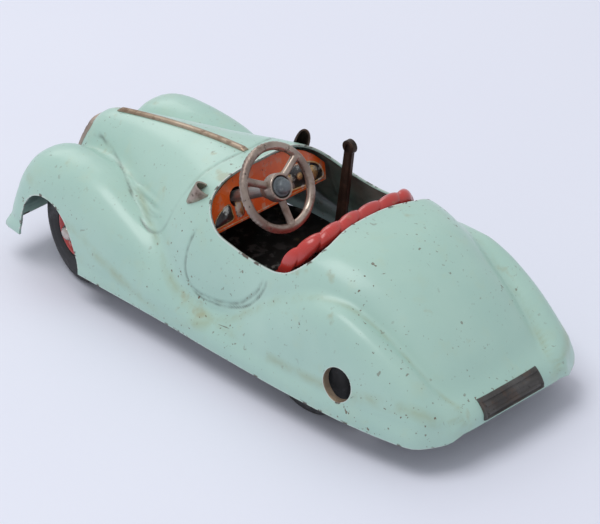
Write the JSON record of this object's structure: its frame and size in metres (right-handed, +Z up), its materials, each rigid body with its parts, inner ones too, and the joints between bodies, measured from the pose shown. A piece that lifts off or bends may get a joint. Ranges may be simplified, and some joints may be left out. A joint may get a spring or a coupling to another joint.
{
  "type": "clockwork toy car",
  "caption": "Open two-seat clockwork tin toy car with pressed mint-green body, steerable front wheels, key-wound rear-axle motor, horn push and stop lever.",
  "frame": {"origin": "middle of the car's length and width, on the surface it stands on", "axes": "+X towards the nose, +Y to the car's left, +Z up"},
  "size_m": [0.1406, 0.0592, 0.0499],
  "materials": {
    "mint_paint": "satin enamel, chipped",
    "red_paint": "gloss enamel",
    "black_paint": "worn gloss",
    "orange_litho": "lithographed gloss",
    "tyre_rubber": "matt",
    "nickel": "dull nickel",
    "browned_steel": "browned",
    "dark_plate": "dark",
    "grey_button": "dull",
    "brass": "satin",
    "spring_steel": "blued",
    "plain_steel": "dull"
  },
  "bodies": {
    "body": {"body_shell": "mint_paint", "base_plate": "plain_steel", "base_screw_rear": "nickel", "base_screw_front": "nickel", "bonnet_strip": "nickel", "radiator_grille": "nickel", "headlamp_left": "nickel", "headlamp_right": "nickel", "number_plate_rear": "dark_plate", "windscreen_clip_left": "nickel", "windscreen_clip_right": "browned_steel", "dashboard": "orange_litho", "cockpit_floor": "black_paint", "seat": "red_paint", "column_bracket": "plain_steel", "horn_lever_pin": "plain_steel", "horn_box": "plain_steel", "horn_reed": "brass", "front_axle_beam": "plain_steel", "kingpin_left": "nickel", "kingpin_right": "nickel", "motor_plate_left": "plain_steel", "motor_plate_right": "plain_steel", "motor_pillar_front": "plain_steel", "motor_pillar_rear": "plain_steel", "motor_pillar_top": "plain_steel", "mainspring": "spring_steel", "lever_bracket": "plain_steel", "lever_pin": "plain_steel"},
    "steering": {"steering_wheel": "nickel", "steering_column": "plain_steel"},
    "horn_push": {"horn_button": "grey_button", "horn_rod": "plain_steel"},
    "horn_arm": {"horn_lever": "plain_steel"},
    "track_rod": {"track_rod": "plain_steel"},
    "knuckle_left": {"steering_knuckle_left": "plain_steel", "hub_cap_front_left": "nickel"},
    "knuckle_right": {"steering_knuckle_right": "plain_steel", "hub_cap_front_right": "nickel"},
    "front_wheel_left": {"tyre_front_left": "tyre_rubber", "wheel_disc_front_left": "red_paint"},
    "front_wheel_right": {"tyre_front_right": "tyre_rubber", "wheel_disc_front_right": "red_paint"},
    "rear_wheels": {"rear_axle": "plain_steel", "tyre_rear_left": "tyre_rubber", "tyre_rear_right": "tyre_rubber", "wheel_disc_rear_left": "red_paint", "wheel_disc_rear_right": "red_paint", "hub_cap_rear_left": "nickel", "hub_cap_rear_right": "nickel"},
    "second_gear": {"intermediate_gear": "brass"},
    "great_wheel": {"great_wheel": "brass"},
    "click": {"click": "spring_steel"},
    "winding_arbor": {"winding_arbor": "plain_steel", "ratchet_wheel": "plain_steel"},
    "stop_lever": {"stop_lever": "browned_steel"},
    "brake_rod": {"brake_rod": "plain_steel"}
  },
  "joints": [
    {"name": "steering_turn", "type": "hinge", "parent": "body", "child": "steering", "pos_m": [-0.00455, 0.008, 0.0408], "axis": [0.866, 0, -0.5], "range_deg": [-53, 3]},
    {"name": "horn_press", "type": "slide", "parent": "steering", "child": "horn_push", "axis": [0.866, 0, -0.5], "range_m": [0, 0.0012], "stiffness_N_per_m": 120},
    {"name": "horn_arm_swing", "type": "hinge", "parent": "body", "child": "horn_arm", "pos_m": [0.04032, 0.008, 0.0245], "axis": [0, -1, 0], "range_deg": [0, 7]},
    {"name": "track_rod_slide", "type": "slide", "parent": "body", "child": "track_rod", "axis": [0, 1, 0], "range_m": [-0.0037, 0.0003]},
    {"name": "steer_left", "type": "hinge", "parent": "body", "child": "knuckle_left", "pos_m": [0.0475, 0.0156, 0.013], "axis": [0, 0, 1], "range_deg": [-1.8, 26.2]},
    {"name": "steer_right", "type": "hinge", "parent": "body", "child": "knuckle_right", "pos_m": [0.0475, -0.0156, 0.013], "axis": [0, 0, 1], "range_deg": [-1.8, 26.2]},
    {"name": "front_wheel_left_spin", "type": "hinge", "parent": "knuckle_left", "child": "front_wheel_left", "pos_m": [0.04858, 0.02058, 0.013], "axis": [0.2113, 0.9774, 0], "continuous": true},
    {"name": "front_wheel_right_spin", "type": "hinge", "parent": "knuckle_right", "child": "front_wheel_right", "pos_m": [0.04642, -0.02058, 0.013], "axis": [0.2113, 0.9774, 0], "continuous": true},
    {"name": "rear_axle_spin", "type": "hinge", "parent": "body", "child": "rear_wheels", "pos_m": [-0.02915, 0, 0.013], "axis": [0, 1, 0], "continuous": true},
    {"name": "second_gear_spin", "type": "hinge", "parent": "body", "child": "second_gear", "pos_m": [-0.03721, 0, 0.01521], "axis": [0, 1, 0], "continuous": true},
    {"name": "great_wheel_spin", "type": "hinge", "parent": "body", "child": "great_wheel", "pos_m": [-0.04555, 0, 0.0146], "axis": [0, 1, 0], "continuous": true},
    {"name": "click_swing", "type": "hinge", "parent": "great_wheel", "child": "click", "pos_m": [-0.04815, 0.0054, 0.0189], "axis": [0, -1, 0], "range_deg": [0, 12], "stiffness_Nm_per_rad": 0.0002},
    {"name": "winding_arbor_turn", "type": "hinge", "parent": "body", "child": "winding_arbor", "pos_m": [-0.04555, 0, 0.0146], "axis": [0, 1, 0], "range_deg": [0, 1440]},
    {"name": "stop_lever_swing", "type": "hinge", "parent": "body", "child": "stop_lever", "pos_m": [0.00225, -0.0184, 0.0159], "axis": [0, 1, 0], "range_deg": [0, 9]},
    {"name": "brake_rod_slide", "type": "slide", "parent": "body", "child": "brake_rod", "axis": [-1, 0, 0], "range_m": [0, 0.00046]}
  ],
  "couplings": [
    {"joint": "horn_arm_swing", "follows": "horn_press", "rad_per_m": 98},
    {"joint": "track_rod_slide", "follows": "steering_turn", "m_per_rad": 0.00386},
    {"joint": "steer_left", "follows": "steering_turn", "ratio": -0.486},
    {"joint": "steer_right", "follows": "steering_turn", "ratio": -0.486},
    {"joint": "second_gear_spin", "follows": "rear_axle_spin", "ratio": -0.35714},
    {"joint": "great_wheel_spin", "follows": "rear_axle_spin", "ratio": 0.12755},
    {"joint": "brake_rod_slide", "follows": "stop_lever_swing", "m_per_rad": 0.00286}
  ]
}
